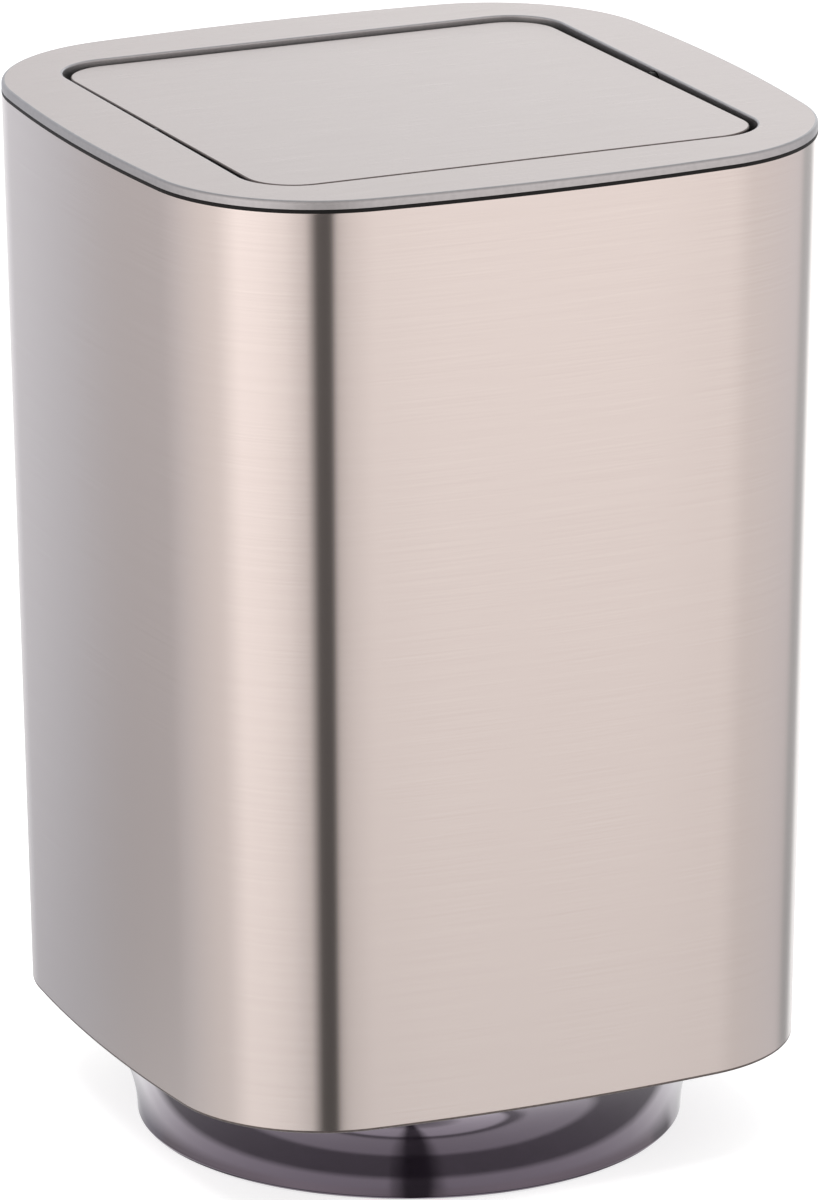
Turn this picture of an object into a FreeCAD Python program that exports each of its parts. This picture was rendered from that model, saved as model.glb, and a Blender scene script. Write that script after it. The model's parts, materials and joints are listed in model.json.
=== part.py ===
"""Square waste bin with a swing lid, standing on a round flared foot. Millimetres, +Z up.

The origin is on the floor under the middle of the bin and the front looks towards -Y.
A tapered steel sleeve stands on the foot. A bucket hangs in the sleeve by its rim, the lid sits
on that rim, and a weighted flap swings in the lid about an axis along X.
"""
import FreeCAD, Part
import math
import os
import re
import Sketcher

SIZES = (
    # Outline that the sleeve, the bucket's rim and the lid share
    ("lid_width", 195.0, "width of the lid and of the sleeve's top across the flats"),
    ("side_bow_radius", 550.0, "radius of the slightly bowed sides"),
    ("corner_radius", 47.9, "radius of the upright corners at the top"),
    ("overall_height", 290.5, "floor to lid face"),
    # Sleeve
    ("sleeve_bottom", 31.0, "floor to the sleeve's lower edge"),
    ("sleeve_taper", 4.7, "how far each side draws in from top to bottom"),
    ("sleeve_wall", 0.6, "sheet thickness of the sleeve"),
    ("sleeve_bend_radius", 0.9, "outer radius of the bend at the lower edge"),
    # Foot
    ("foot_base_radius", 76.1, "outer radius of the foot at its standing edge"),
    ("foot_flare_radius", 43.0, "radius of the hollow curve from there out to the sleeve"),
    ("foot_wall", 3.0, "wall of the dish, measured level"),
    ("foot_recess", 2.8, "height of the hollow under the foot's floor"),
    ("foot_floor", 3.5, "floor thickness of the dish"),
    ("foot_rim_width", 6.0, "width of the standing rim"),
    ("foot_edge_radius", 1.2, "rounding of the standing edge"),
    ("foot_corner_radius", 4.0, "rounding inside the dish"),
    ("ring_stand", 0.4, "how far the rubber ring stands out under the foot"),
    ("ring_groove_depth", 1.5, "depth of the groove that holds the rubber ring"),
    ("ring_margin", 2.4, "rim outside the groove"),
    ("ring_width", 2.4, "width of the groove"),
    ("snug_clearance", 0.05, "clearance of pieces pushed together by hand"),
    # Base plate
    ("base_thickness", 3.0, "plate thickness"),
    ("base_clearance", 0.4, "gap between plate and sleeve"),
    ("spigot_depth", 5.5, "ring under the plate that enters the foot"),
    ("spigot_wall", 2.5, "thickness of that ring"),
    ("spigot_clearance", 0.3, "gap between that ring and the foot"),
    ("column_circle_radius", 45.0, "circle that the screw columns stand on"),
    ("column_diameter", 10.0, "diameter of a screw column"),
    ("base_rib_thickness", 2.0, "thickness of the cross ribs"),
    ("base_rib_depth", 5.0, "depth of the cross ribs"),
    ("foot_screw_diameter", 4.0, "shank of a foot screw"),
    ("foot_screw_length", 12.0, "length under the head"),
    ("foot_screw_head", 7.5, "diameter of the head"),
    ("foot_screw_head_height", 2.0, "height of the head"),
    ("pilot_depth", 1.0, "free depth past a screw's tip"),
    # Bucket
    ("bucket_rim_thickness", 1.05, "rim that shows between lid and sleeve"),
    ("bucket_gap", 1.2, "gap between bucket and sleeve"),
    ("bucket_wall", 1.6, "wall of the bucket"),
    ("bucket_floor", 2.0, "floor of the bucket"),
    ("bucket_clearance", 0.6, "gap between bucket and base plate"),
    ("bucket_edge_radius", 6.0, "outer rounding of the bucket's lower edge"),
    # Lid face
    ("lid_rim_height", 2.25, "height of the lid's turned-down rim"),
    ("cap_wall", 0.6, "sheet thickness of the lid face"),
    ("cap_edge_radius", 0.9, "rounding of the lid's outer edge"),
    ("lid_margin", 22.5, "lid face between the middle of a side and the flap's opening"),
    ("opening_corner_radius", 16.0, "corners of the opening"),
    ("opening_edge_radius", 0.5, "bend at the edge of the opening"),
    ("opening_flange", 5.0, "depth of the opening's turned-down edge"),
    # Lid carrier
    ("carrier_clearance", 0.2, "gap between carrier and lid rim, and above the bucket's rim"),
    ("collar_clearance", 0.6, "gap between collar and bucket"),
    ("collar_wall", 2.0, "wall of the collar"),
    ("collar_depth", 15.0, "how far the collar reaches into the bucket"),
    ("opening_wall", 2.0, "wall round the opening"),
    ("opening_wall_depth", 13.0, "depth of that wall"),
    ("lid_rib_thickness", 2.0, "ribs between collar and opening wall"),
    ("lid_rib_depth", 8.0, "depth of those ribs"),
    ("lid_rib_spacing", 40.0, "distance of the ribs from the middle of a side"),
    # Pivot
    ("pivot_drop", 3.6, "flap axis below the lid face"),
    ("bush_nose_diameter", 5.6, "shoulder of a bush in the gap beside the flap"),
    ("bush_diameter", 4.8, "body of a bush"),
    ("bush_length", 9.2, "length of a bush's body"),
    ("bush_end_float", 0.4, "gap between bush and flap"),
    ("notch_clearance", 0.3, "gap round the bush's nose in the lid face"),
    ("pin_diameter", 2.5, "pivot pin"),
    ("pin_hold", 12.0, "length of a pin held in the flap"),
    ("running_clearance", 0.05, "radial play of a pin in its bush"),
    ("block_width", 22.0, "bearing block along Y"),
    ("block_length", 10.0, "bearing block along X"),
    ("block_depth", 10.0, "bearing block along Z"),
    ("bearing_cap_thickness", 2.5, "plate of a bearing cap"),
    ("bearing_screw_spacing", 15.0, "distance between the two screws of a cap"),
    ("bearing_screw_diameter", 2.5, "shank of a bearing screw"),
    ("bearing_screw_length", 8.0, "length under the head"),
    ("bearing_screw_head", 4.5, "diameter of the head"),
    ("bearing_screw_head_height", 1.6, "height of the head"),
    # Flap
    ("flap_gap", 2.2, "gap round the flap"),
    ("flap_recess", 0.9, "flap face below the lid face"),
    ("flap_sheet", 0.6, "sheet thickness of the flap"),
    ("flap_edge_radius", 0.4, "rounding of the flap's edge"),
    ("flap_inset", 0.5, "carrier's edge inside the plate's edge"),
    ("flap_board", 2.0, "board of the flap carrier"),
    ("flap_skirt_depth", 6.0, "skirt round the flap carrier"),
    ("flap_skirt_wall", 1.8, "wall of that skirt"),
    ("flap_rib_thickness", 1.8, "ribs under the board"),
    ("flap_rib_depth", 4.0, "depth of those ribs"),
    ("pin_boss_width", 8.0, "boss round a pin, along Y"),
    ("pin_boss_depth", 5.6, "boss round a pin, along Z"),
    ("keel_spacing", 70.0, "distance between the keel's columns"),
    ("keel_column_diameter", 10.0, "diameter of a keel column"),
    ("keel_depth", 17.0, "length of a keel column"),
    ("weight_length", 100.0, "counterweight along X"),
    ("weight_width", 14.0, "counterweight along Y"),
    ("weight_height", 6.0, "counterweight along Z"),
    ("weight_screw_diameter", 3.0, "shank of a counterweight screw"),
    ("weight_screw_length", 16.0, "length under the head"),
    ("weight_screw_head", 5.5, "diameter of the head"),
    ("weight_screw_head_height", 2.0, "height of the head"),
)
NAMES = {name for name, size, meaning in SIZES}

doc = FreeCAD.newDocument("waste_bin")
sheet = doc.addObject("Spreadsheet::Sheet", "dims")
for row, (name, size, meaning) in enumerate(SIZES, start=1):
    sheet.set("A%d" % row, name)
    sheet.set("B%d" % row, str(size))
    sheet.setAlias("B%d" % row, name)
    sheet.set("C%d" % row, meaning)
doc.recompute()

# Levels and reaches that several pieces share, as formulas over the sheet
RIM_TOP = "(overall_height - lid_rim_height)"
SLEEVE_TOP = "(overall_height - lid_rim_height - bucket_rim_thickness)"
SLEEVE_FLOOR = "(sleeve_bottom + sleeve_wall)"
BASE_TOP = f"({SLEEVE_FLOOR} + base_thickness)"
FOOT_UNDERSIDE = "(ring_stand + foot_recess)"
FOOT_FLOOR_TOP = f"({FOOT_UNDERSIDE} + foot_floor)"
RING_OUTER = "(foot_base_radius - ring_margin)"
RING_INNER = "(foot_base_radius - ring_margin - ring_width)"
SPIGOT_BOTTOM = f"({SLEEVE_FLOOR} - spigot_depth)"
BUCKET_BOTTOM = f"({BASE_TOP} + bucket_clearance)"
CAP_UNDERSIDE = "(overall_height - cap_wall)"
PIVOT_LEVEL = "(overall_height - pivot_drop)"
OPENING_HALF = "(lid_width / 2 - lid_margin)"
WALL_HALF = f"({OPENING_HALF} + cap_wall + carrier_clearance)"
WALL_RADIUS = "(opening_corner_radius + cap_wall + carrier_clearance)"
BLOCK_BOTTOM = f"({CAP_UNDERSIDE} - block_depth)"
FLAP_TOP = "(overall_height - flap_recess)"
FLAP_HALF = f"({OPENING_HALF} - flap_gap)"
BOARD_TOP = f"({FLAP_TOP} - flap_sheet)"
BOARD_HALF = f"({FLAP_HALF} - flap_inset)"
BOARD_BOTTOM = f"({BOARD_TOP} - flap_board)"
KEEL_BOTTOM = f"({BOARD_BOTTOM} - keel_depth)"
WEIGHT_BOTTOM = f"({KEEL_BOTTOM} - weight_height)"
COLLAR_INSET = "(sleeve_wall + bucket_gap + bucket_wall + collar_clearance)"
NOSE_INNER = f"({FLAP_HALF} + bush_end_float)"

ZERO = "0"
START, END, CENTRE = range(1, 4)
ORIGIN = (-1, START)
H_AXIS, V_AXIS = range(-1, -3, -1)
QUARTER = math.pi / 2
TOUCH = 1e-4

pieces = []


def bound(formula):
    """The formula with each of the sheet's names written the way expressions want it."""
    def written(word):
        return "dims." + word.group() if word.group() in NAMES else word.group()

    return re.sub(r"[a-z_]+", written, formula)


def number(formula):
    """The formula's present value."""
    return float(sheet.evalExpression(bound(formula)))


def sleeve_inset(level):
    """How far the sleeve's outside lies inside the lid's outline at a level."""
    return f"(sleeve_taper * ({SLEEVE_TOP} - {level}) / ({SLEEVE_TOP} - sleeve_bottom))"


def foot_radius(level):
    """The foot's outer radius at a level: an arc that starts upright at the standing edge."""
    rise = f"({level} - ring_stand)"
    return f"(foot_base_radius + foot_flare_radius - sqrt(foot_flare_radius ^ 2 - {rise} ^ 2))"


def new_body(label):
    """A body that becomes one piece of the bin."""
    body = doc.addObject("PartDesign::Body", label)
    body.Label = label
    pieces.append(body)
    return body


def sketch_in(body, name, plane, offset):
    """A sketch on one of the body's own origin planes, moved along the plane's normal."""
    sketch = body.newObject("Sketcher::SketchObject", name)
    support = next(feature for feature in body.Origin.OriginFeatures if feature.Role == plane)
    sketch.AttachmentSupport = [(support, "")]
    sketch.MapMode = "FlatFace"
    sketch.setExpression("AttachmentOffset.Base.z", bound(offset))
    return sketch


def dimension(sketch, kind, *where, formula):
    """A driving dimension of a sketch, bound to the sheet."""
    index = sketch.addConstraint(Sketcher.Constraint(kind, *where, number(formula)))
    sketch.setExpression("Constraints[%d]" % index, bound(formula))


def place_point(sketch, geometry, point, x, y):
    """Holds a point of the sketch at (x, y) from its origin."""
    dimension(sketch, "DistanceX", *ORIGIN, geometry, point, formula=x)
    dimension(sketch, "DistanceY", *ORIGIN, geometry, point, formula=y)


def arc(x, y, radius, start, end):
    """A circular arc about (x, y)."""
    circle = Part.Circle(FreeCAD.Vector(x, y, 0), FreeCAD.Vector(0, 0, 1), radius)
    return Part.ArcOfCircle(circle, start, end)


def turned(x, y, angle):
    """The point (x, y) turned about the origin."""
    return x * math.cos(angle) - y * math.sin(angle), x * math.sin(angle) + y * math.cos(angle)


def hold_four_sides(sketch, first, point, distance):
    """Holds a point of sides 0, 2, 4 and 6 at one distance from the axes, facing +X, +Y, -X and -Y."""
    for quarter, kind in enumerate(("DistanceX", "DistanceY", "DistanceX", "DistanceY")):
        held = (first + 2 * quarter, point)
        ends = (*ORIGIN, *held) if quarter < 2 else (*held, *ORIGIN)
        dimension(sketch, kind, *ends, formula=distance)


def join_ring(sketch, first, radius):
    """Joins eight pieces into a smooth ring whose corners 1, 3, 5 and 7 share one radius."""
    for step in range(8):
        following = first + (step + 1) % 8
        sketch.addConstraint(Sketcher.Constraint("Tangent", first + step, END, following, START))
    for corner in (3, 5, 7):
        sketch.addConstraint(Sketcher.Constraint("Equal", first + 1, first + corner))
    dimension(sketch, "Radius", first + 1, formula=radius)


def draw_outline(sketch, inset):
    """The bin's outline drawn in by inset: four bowed sides and four round corners, all tangent.

    A side's arc is centred on an axis at half width minus side radius; a corner's centre lies on
    the diagonal where it is side radius minus corner radius away from both neighbours' centres.
    """
    side = number(f"side_bow_radius - ({inset})")
    corner = number(f"corner_radius - ({inset})")
    centre = number("lid_width / 2 - side_bow_radius")
    reach = (centre + math.sqrt(2 * (side - corner) ** 2 - centre ** 2)) / 2
    turn = math.atan2(reach, reach - centre)
    first = sketch.GeometryCount
    for quarter in range(4):
        angle = quarter * QUARTER
        sketch.addGeometry(arc(*turned(centre, 0, angle), side, angle - turn, angle + turn))
        sketch.addGeometry(arc(*turned(reach, reach, angle), corner, angle + turn, angle + QUARTER - turn))
    join_ring(sketch, first, f"corner_radius - ({inset})")
    for quarter in range(4):
        axis = H_AXIS if quarter % 2 == 0 else V_AXIS
        sketch.addConstraint(Sketcher.Constraint("PointOnObject", first + 2 * quarter, CENTRE, axis))
    for other in (2, 4, 6):
        sketch.addConstraint(Sketcher.Constraint("Equal", first, first + other))
    dimension(sketch, "Radius", first, formula=f"side_bow_radius - ({inset})")
    hold_four_sides(sketch, first, CENTRE, "lid_width / 2 - side_bow_radius")


def draw_square(sketch, half, radius):
    """A square with straight sides and round corners."""
    reach = number(half)
    corner = number(radius)
    first = sketch.GeometryCount
    for quarter in range(4):
        angle = quarter * QUARTER
        low = FreeCAD.Vector(*turned(reach, corner - reach, angle), 0)
        high = FreeCAD.Vector(*turned(reach, reach - corner, angle), 0)
        sketch.addGeometry(Part.LineSegment(low, high))
        middle = turned(reach - corner, reach - corner, angle)
        sketch.addGeometry(arc(*middle, corner, angle, angle + QUARTER))
    join_ring(sketch, first, radius)
    for quarter, kind in enumerate(("Vertical", "Horizontal", "Vertical", "Horizontal")):
        sketch.addConstraint(Sketcher.Constraint(kind, first + 2 * quarter))
    hold_four_sides(sketch, first, START, half)


def draw_circle(sketch, x, y, radius):
    """A circle about (x, y)."""
    centre = FreeCAD.Vector(number(x), number(y), 0)
    index = sketch.addGeometry(Part.Circle(centre, FreeCAD.Vector(0, 0, 1), number(radius)))
    dimension(sketch, "Radius", index, formula=radius)
    place_point(sketch, index, CENTRE, x, y)


def hollow_arc(here, there, radius):
    """An arc between two points whose centre lies on the side of larger X, drawn downwards."""
    upper, lower = sorted((here, there), key=lambda point: point.y, reverse=True)
    chord = upper - lower
    aside = math.sqrt(radius ** 2 - chord.Length ** 2 / 4)
    centre = (upper + lower) / 2 + FreeCAD.Vector(chord.y, -chord.x, 0) * (aside / chord.Length)
    angles = [math.atan2(point.y - centre.y, point.x - centre.x) % math.tau for point in (upper, lower)]
    return arc(centre.x, centre.y, radius, *angles)


def draw_polygon(sketch, points):
    """A closed outline through the given corners.

    A third entry at a corner is the radius that bends the side after it, hollow towards larger X.
    """
    corners = [FreeCAD.Vector(number(x), number(y), 0) for x, y, *bend in points]
    first = sketch.GeometryCount
    count = len(corners)
    ends = []
    for step, (x, y, *bend) in enumerate(points):
        here = corners[step]
        there = corners[(step + 1) % count]
        if bend:
            sketch.addGeometry(hollow_arc(here, there, number(bend[0])))
            dimension(sketch, "Radius", first + step, formula=bend[0])
        else:
            sketch.addGeometry(Part.LineSegment(here, there))
        ends.append((END, START) if bend and there.y > here.y else (START, END))
    for step in range(count):
        following = (step + 1) % count
        joined = (first + step, ends[step][1], first + following, ends[following][0])
        sketch.addConstraint(Sketcher.Constraint("Coincident", *joined))
    for step, (x, y, *bend) in enumerate(points):
        place_point(sketch, first + step, ends[step][0], x, y)


def draw_box(sketch, left, right, low, high):
    """A rectangle between two X and two Y values of the sketch."""
    draw_polygon(sketch, ((left, low), (right, low), (right, high), (left, high)))


def feature(body, kind, name, sketch, length, reverse):
    """A pad or pocket of the sketch; reverse turns it round."""
    made = body.newObject("PartDesign::" + kind, name)
    made.Profile = sketch
    made.setExpression("Length", bound(length))
    made.Reversed = reverse
    return made


def pad_up(body, name, sketch, length):
    """Material along the sketch's normal."""
    return feature(body, "Pad", name, sketch, length, False)


def pad_down(body, name, sketch, length):
    """Material against the sketch's normal."""
    return feature(body, "Pad", name, sketch, length, True)


def cut_up(body, name, sketch, length):
    """A pocket along the sketch's normal."""
    return feature(body, "Pocket", name, sketch, length, True)


def cut_down(body, name, sketch, length):
    """A pocket against the sketch's normal."""
    return feature(body, "Pocket", name, sketch, length, False)


def loft(body, kind, name, sections):
    """A ruled loft of the bin's outline through (level, inset) sections."""
    sketches = []
    for count, (level, inset) in enumerate(sections):
        sketch = sketch_in(body, f"{name}_section_{count}", "XY_Plane", level)
        draw_outline(sketch, inset)
        sketches.append(sketch)
    made = body.newObject("PartDesign::" + kind, name)
    made.Profile = sketches[0]
    made.Sections = sketches[1:]
    made.Ruled = True
    return made


def revolve(body, name, points):
    """A full turn about Z of a profile of (radius, level) corners."""
    sketch = sketch_in(body, name + "_profile", "XZ_Plane", ZERO)
    draw_polygon(sketch, points)
    made = body.newObject("PartDesign::Revolution", name)
    made.Profile = sketch
    made.ReferenceAxis = (sketch, ["V_Axis"])
    made.Angle = 360
    return made


def round_edges(body, name, base, radius, chosen):
    """Rounds the base feature's edges that the test picks."""
    doc.recompute()
    edges = ["Edge%d" % index for index, edge in enumerate(base.Shape.Edges, start=1) if chosen(edge)]
    made = body.newObject("PartDesign::Fillet", name)
    made.Base = (base, edges)
    made.setExpression("Radius", bound(radius))
    return made


def lies_at(edge, level):
    """True for an edge that lies flat at a level."""
    box = edge.BoundBox
    return abs(box.ZMin - level) < TOUCH and abs(box.ZMax - level) < TOUCH


def reach_of(edge):
    """The edge's mean distance from the bin's upright axis along X or Y, whichever is larger."""
    middle = edge.valueAt((edge.FirstParameter + edge.LastParameter) / 2)
    return max(abs(middle.x), abs(middle.y))


def cylinder(name, radius, height, place, along_x=False):
    """An upright cylinder, or one along X, that starts at a place."""
    made = doc.addObject("Part::Cylinder", name)
    made.setExpression("Radius", bound(radius))
    made.setExpression("Height", bound(height))
    if along_x:
        made.Placement.Rotation = FreeCAD.Rotation(FreeCAD.Vector(0, 1, 0), 90)
    for axis, formula in zip("xyz", place):
        made.setExpression(f"Placement.Base.{axis}", bound(formula))
    return made


def box(name, size, place):
    """A block of (length, width, height) whose lowest corner is at a place."""
    made = doc.addObject("Part::Box", name)
    for property_name, formula in zip(("Length", "Width", "Height"), size):
        made.setExpression(property_name, bound(formula))
    for axis, formula in zip("xyz", place):
        made.setExpression(f"Placement.Base.{axis}", bound(formula))
    return made


def fused(name, *shapes):
    """The shapes joined into one."""
    made = doc.addObject("Part::MultiFuse", name)
    made.Shapes = list(shapes)
    return made


def cut(name, base, *tools):
    """The base with the tools taken out of it."""
    tool = tools[0] if len(tools) == 1 else fused(name + "_tools", *tools)
    made = doc.addObject("Part::Cut", name)
    made.Base = base
    made.Tool = tool
    return made


def piece(label, shape):
    """Names a finished shape as a piece of the bin."""
    shape.Label = label
    pieces.append(shape)


def screws(label, places, shank, length, head, head_height):
    """A set of equal screws that point up, each placed by the underside of its head."""
    made = []
    for count, (x, y, level) in enumerate(places):
        name = f"{label}_{count}"
        head_part = cylinder(name + "_head", f"{head} / 2", head_height, (x, y, f"{level} - {head_height}"))
        shank_part = cylinder(name + "_shank", f"{shank} / 2", length, (x, y, level))
        made.append(fused(name, head_part, shank_part))
    group = doc.addObject("Part::Compound", label)
    group.Links = made
    piece(label, group)


def around(radius):
    """Four places on a circle about the upright axis, on +X, +Y, -X and -Y."""
    return ((radius, ZERO), (ZERO, radius), (f"-{radius}", ZERO), (ZERO, f"-{radius}"))


def make_sleeve():
    """Tapered steel tube with a bottom turned in round the foot's hole."""
    body = new_body("outer_sleeve")
    loft(body, "AdditiveLoft", "sleeve_outside", (("sleeve_bottom", "sleeve_taper"), (SLEEVE_TOP, ZERO)))
    inside_low = f"{sleeve_inset(SLEEVE_FLOOR)} + sleeve_wall"
    hollow = loft(
        body, "SubtractiveLoft", "sleeve_inside", ((SLEEVE_FLOOR, inside_low), (SLEEVE_TOP, "sleeve_wall")))
    level = number("sleeve_bottom")
    bend = round_edges(body, "sleeve_bend", hollow, "sleeve_bend_radius", lambda edge: lies_at(edge, level))
    hole = sketch_in(body, "sleeve_hole_sketch", "XY_Plane", "sleeve_bottom")
    draw_circle(hole, ZERO, ZERO, f"{foot_radius(SPIGOT_BOTTOM)} - foot_wall")
    body.Tip = bend
    cut_up(body, "sleeve_hole", hole, "sleeve_wall")


def make_foot():
    """Dish whose wall flares out to the sleeve, with a standing rim and a groove for the rubber ring."""
    body = new_body("foot_dish")
    rim_inside = "foot_base_radius - foot_rim_width"
    groove_top = "ring_stand + ring_groove_depth"
    dish = revolve(body, "dish", (
        (ZERO, FOOT_UNDERSIDE),
        (rim_inside, FOOT_UNDERSIDE),
        (rim_inside, "ring_stand"),
        (RING_INNER, "ring_stand"),
        (RING_INNER, groove_top),
        (RING_OUTER, groove_top),
        (RING_OUTER, "ring_stand"),
        ("foot_base_radius", "ring_stand", "foot_flare_radius"),
        (foot_radius("sleeve_bottom"), "sleeve_bottom"),
        (f"{foot_radius('sleeve_bottom')} - foot_wall", "sleeve_bottom", "foot_flare_radius"),
        (f"{foot_radius(FOOT_FLOOR_TOP)} - foot_wall", FOOT_FLOOR_TOP),
        (ZERO, FOOT_FLOOR_TOP),
    ))
    stand = number("ring_stand")
    base_radius = number("foot_base_radius")
    edge_round = round_edges(
        body, "dish_edge", dish, "foot_edge_radius",
        lambda edge: lies_at(edge, stand) and edge.BoundBox.XMax > base_radius - TOUCH)
    floor_top = number(FOOT_FLOOR_TOP)
    inner_round = round_edges(
        body, "dish_corner", edge_round, "foot_corner_radius", lambda edge: lies_at(edge, floor_top))
    holes = sketch_in(body, "dish_holes_sketch", "XY_Plane", FOOT_UNDERSIDE)
    for x, y in around("column_circle_radius"):
        draw_circle(holes, x, y, "foot_screw_diameter / 2 + snug_clearance")
    body.Tip = inner_round
    cut_up(body, "dish_holes", holes, "foot_floor")


def make_ring():
    """Rubber ring in the foot's groove, which the bin stands on."""
    body = new_body("anti_slip_ring")
    inner = f"{RING_INNER} + snug_clearance"
    outer = f"{RING_OUTER} - snug_clearance"
    top = "ring_stand + ring_groove_depth"
    revolve(body, "ring", ((inner, ZERO), (outer, ZERO), (outer, top), (inner, top)))


def make_base():
    """Plate that closes the sleeve, with a spigot into the foot, cross ribs and screw columns."""
    body = new_body("base_plate")
    plate = sketch_in(body, "base_outline", "XY_Plane", SLEEVE_FLOOR)
    draw_outline(plate, f"{sleeve_inset(SLEEVE_FLOOR)} + sleeve_wall + base_clearance")
    pad_up(body, "base_board", plate, "base_thickness")
    spigot = sketch_in(body, "base_spigot_sketch", "XY_Plane", SLEEVE_FLOOR)
    spigot_radius = f"{foot_radius(SPIGOT_BOTTOM)} - foot_wall - spigot_clearance"
    draw_circle(spigot, ZERO, ZERO, spigot_radius)
    draw_circle(spigot, ZERO, ZERO, f"{spigot_radius} - spigot_wall")
    pad_down(body, "base_spigot", spigot, "spigot_depth")
    rib_reach = f"({spigot_radius} - spigot_wall / 2)"
    rib_half = "base_rib_thickness / 2"
    for name, sides in (
        ("base_rib_x", (f"-{rib_reach}", rib_reach, f"-{rib_half}", rib_half)),
        ("base_rib_y", (f"-{rib_half}", rib_half, f"-{rib_reach}", rib_reach)),
    ):
        rib = sketch_in(body, name + "_sketch", "XY_Plane", SLEEVE_FLOOR)
        draw_box(rib, *sides)
        pad_down(body, name, rib, "base_rib_depth")
    columns = sketch_in(body, "base_columns_sketch", "XY_Plane", SLEEVE_FLOOR)
    pilots = sketch_in(body, "base_pilots_sketch", "XY_Plane", FOOT_FLOOR_TOP)
    for x, y in around("column_circle_radius"):
        draw_circle(columns, x, y, "column_diameter / 2")
        draw_circle(pilots, x, y, "foot_screw_diameter / 2 + snug_clearance")
    pad_down(body, "base_columns", columns, f"{SLEEVE_FLOOR} - {FOOT_FLOOR_TOP}")
    cut_up(body, "base_pilots", pilots, "foot_screw_length - foot_floor + pilot_depth")


def make_bucket():
    """Lift-out bucket that hangs by its rim on the sleeve's top edge."""
    body = new_body("inner_bucket")
    low_inset = f"{sleeve_inset(BUCKET_BOTTOM)} + sleeve_wall + bucket_gap"
    top_inset = "sleeve_wall + bucket_gap"
    loft(body, "AdditiveLoft", "bucket_outside", ((BUCKET_BOTTOM, low_inset), (SLEEVE_TOP, top_inset)))
    rim = sketch_in(body, "bucket_rim_sketch", "XY_Plane", SLEEVE_TOP)
    draw_outline(rim, ZERO)
    board = pad_up(body, "bucket_rim", rim, "bucket_rim_thickness")
    bottom = number(BUCKET_BOTTOM)
    rounded = round_edges(
        body, "bucket_edge", board, "bucket_edge_radius", lambda edge: lies_at(edge, bottom))
    body.Tip = rounded
    floor = f"({BUCKET_BOTTOM} + bucket_floor)"
    floor_inset = f"{sleeve_inset(floor)} + sleeve_wall + bucket_gap + bucket_wall"
    mouth_inset = f"{sleeve_inset(RIM_TOP)} + sleeve_wall + bucket_gap + bucket_wall"
    hollow = loft(body, "SubtractiveLoft", "bucket_inside", ((floor, floor_inset), (RIM_TOP, mouth_inset)))
    level = number(floor)
    round_edges(
        body, "bucket_corner", hollow, "bucket_edge_radius - bucket_wall", lambda edge: lies_at(edge, level))


def make_lid_cap():
    """Pressed steel lid face: rim and opening turned down, two notches for the bushes."""
    body = new_body("lid_cap")
    outline = sketch_in(body, "cap_outline", "XY_Plane", RIM_TOP)
    draw_outline(outline, ZERO)
    pad_up(body, "cap_blank", outline, "lid_rim_height")
    hollow = sketch_in(body, "cap_hollow_sketch", "XY_Plane", RIM_TOP)
    draw_outline(hollow, "cap_wall")
    cut_up(body, "cap_hollow", hollow, "lid_rim_height - cap_wall")
    flange = sketch_in(body, "cap_flange_sketch", "XY_Plane", CAP_UNDERSIDE)
    draw_square(flange, f"{OPENING_HALF} + cap_wall", "opening_corner_radius + cap_wall")
    pad_down(body, "cap_flange", flange, "opening_flange - cap_wall")
    opening = sketch_in(body, "cap_opening_sketch", "XY_Plane", "overall_height")
    draw_square(opening, OPENING_HALF, "opening_corner_radius")
    opened = cut_down(body, "cap_opening", opening, "opening_flange")
    top = number("overall_height")
    middle = number(f"({OPENING_HALF} + lid_width / 2 - corner_radius * (1 - sqrt(0.5))) / 2")
    outer = round_edges(
        body, "cap_edge", opened, "cap_edge_radius",
        lambda edge: lies_at(edge, top) and reach_of(edge) > middle)
    inner = round_edges(
        body, "cap_opening_edge", outer, "opening_edge_radius",
        lambda edge: lies_at(edge, top) and reach_of(edge) < middle)
    body.Tip = inner
    reach = "bush_nose_diameter / 2 + notch_clearance"
    notch_start = f"{OPENING_HALF} - notch_clearance"
    notch_length = "cap_wall + 2 * notch_clearance"
    for name, start, turn in (("left", f"-({notch_start})", cut_down), ("right", notch_start, cut_up)):
        notch = sketch_in(body, f"cap_notch_{name}_sketch", "YZ_Plane", start)
        draw_box(notch, f"-({reach})", reach, f"{CAP_UNDERSIDE} - opening_flange", PIVOT_LEVEL)
        turn(body, f"cap_notch_{name}", notch, notch_length)
        top_round = sketch_in(body, f"cap_notch_{name}_round_sketch", "YZ_Plane", start)
        draw_circle(top_round, ZERO, PIVOT_LEVEL, reach)
        turn(body, f"cap_notch_{name}_round", top_round, notch_length)


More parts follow.
